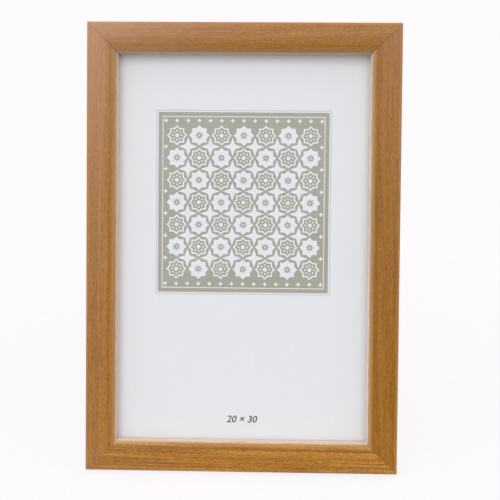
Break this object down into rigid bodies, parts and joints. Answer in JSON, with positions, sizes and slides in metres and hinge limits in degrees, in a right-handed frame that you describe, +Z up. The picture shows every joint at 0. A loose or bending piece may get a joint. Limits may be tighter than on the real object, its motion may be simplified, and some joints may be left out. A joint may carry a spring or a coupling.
{
  "type": "picture frame",
  "caption": "Upright wooden picture frame with a crowned mitred moulding, glass, printed sheet, backing board, turn buttons, hanging rings and a hinged easel leg.",
  "frame": {"origin": "on the shelf that the frame stands on, in the middle of the bounding box's footprint", "axes": "+Z up; the picture faces -Y and leans back by 12 degrees; +X to the right seen from the front"},
  "size_m": [0.23, 0.1036, 0.3257],
  "materials": {
    "oiled_wood": "satin lacquer",
    "clear_glass": "polished",
    "printed_paper": "matt print",
    "hardboard": "matt",
    "nickelled_steel": "nickel plate",
    "brassed_steel": "brass plate",
    "bright_steel": "bright strip"
  },
  "bodies": {
    "frame": {"top_rail": "oiled_wood", "bottom_rail": "oiled_wood", "left_stile": "oiled_wood", "right_stile": "oiled_wood", "corner_v_nails": "bright_steel", "glass_pane": "clear_glass", "picture_print": "printed_paper", "back_board": "hardboard", "board_hinge_leaf": "nickelled_steel", "hinge_pin": "nickelled_steel", "board_hinge_rivets": "nickelled_steel", "turn_button_screws": "brassed_steel", "hanger_strap_top": "nickelled_steel", "hanger_strap_side": "nickelled_steel", "hanger_rivets": "nickelled_steel"},
    "easel_leg": {"easel_leg": "hardboard", "leg_hinge_leaf": "nickelled_steel", "leg_hinge_rivets": "nickelled_steel"},
    "turn_button_top_left": {"turn_button_top_left": "brassed_steel"},
    "turn_button_top_right": {"turn_button_top_right": "brassed_steel"},
    "turn_button_bottom_left": {"turn_button_bottom_left": "brassed_steel"},
    "turn_button_bottom_right": {"turn_button_bottom_right": "brassed_steel"},
    "turn_button_left_upper": {"turn_button_left_upper": "brassed_steel"},
    "turn_button_left_lower": {"turn_button_left_lower": "brassed_steel"},
    "turn_button_right_upper": {"turn_button_right_upper": "brassed_steel"},
    "turn_button_right_lower": {"turn_button_right_lower": "brassed_steel"},
    "hanger_ring_top": {"hanger_ring_top": "nickelled_steel"},
    "hanger_ring_side": {"hanger_ring_side": "nickelled_steel"}
  },
  "joints": [
    {"name": "easel_leg_hinge", "type": "hinge", "parent": "frame", "child": "easel_leg", "pos_m": [0, 0.00848, 0.19998], "axis": [1, 0, 0], "range_deg": [-23.8, 0]},
    {"name": "turn_button_top_left_turn", "type": "hinge", "parent": "frame", "child": "turn_button_top_left", "pos_m": [-0.062, 0.03115, 0.31579], "axis": [0, 0.9781, -0.2079], "continuous": true},
    {"name": "turn_button_top_right_turn", "type": "hinge", "parent": "frame", "child": "turn_button_top_right", "pos_m": [0.062, 0.03115, 0.31579], "axis": [0, 0.9781, -0.2079], "continuous": true},
    {"name": "turn_button_bottom_left_turn", "type": "hinge", "parent": "frame", "child": "turn_button_bottom_left", "pos_m": [-0.062, -0.03454, 0.0067], "axis": [0, 0.9781, -0.2079], "continuous": true},
    {"name": "turn_button_bottom_right_turn", "type": "hinge", "parent": "frame", "child": "turn_button_bottom_right", "pos_m": [0.062, -0.03454, 0.0067], "axis": [0, 0.9781, -0.2079], "continuous": true},
    {"name": "turn_button_left_upper_turn", "type": "hinge", "parent": "frame", "child": "turn_button_left_upper", "pos_m": [-0.108, 0.01546, 0.24194], "axis": [0, 0.9781, -0.2079], "continuous": true},
    {"name": "turn_button_left_lower_turn", "type": "hinge", "parent": "frame", "child": "turn_button_left_lower", "pos_m": [-0.108, -0.01885, 0.08055], "axis": [0, 0.9781, -0.2079], "continuous": true},
    {"name": "turn_button_right_upper_turn", "type": "hinge", "parent": "frame", "child": "turn_button_right_upper", "pos_m": [0.108, 0.01546, 0.24194], "axis": [0, 0.9781, -0.2079], "continuous": true},
    {"name": "turn_button_right_lower_turn", "type": "hinge", "parent": "frame", "child": "turn_button_right_lower", "pos_m": [0.108, -0.01885, 0.08055], "axis": [0, 0.9781, -0.2079], "continuous": true},
    {"name": "hanger_ring_top_swing", "type": "hinge", "parent": "frame", "child": "hanger_ring_top", "pos_m": [0, 0.02663, 0.28823], "axis": [-1, 0, 0], "range_deg": [0, 172]},
    {"name": "hanger_ring_side_swing", "type": "hinge", "parent": "frame", "child": "hanger_ring_side", "pos_m": [-0.0805, -0.00042, 0.16098], "axis": [0, -0.2079, -0.9781], "range_deg": [0, 172]}
  ]
}
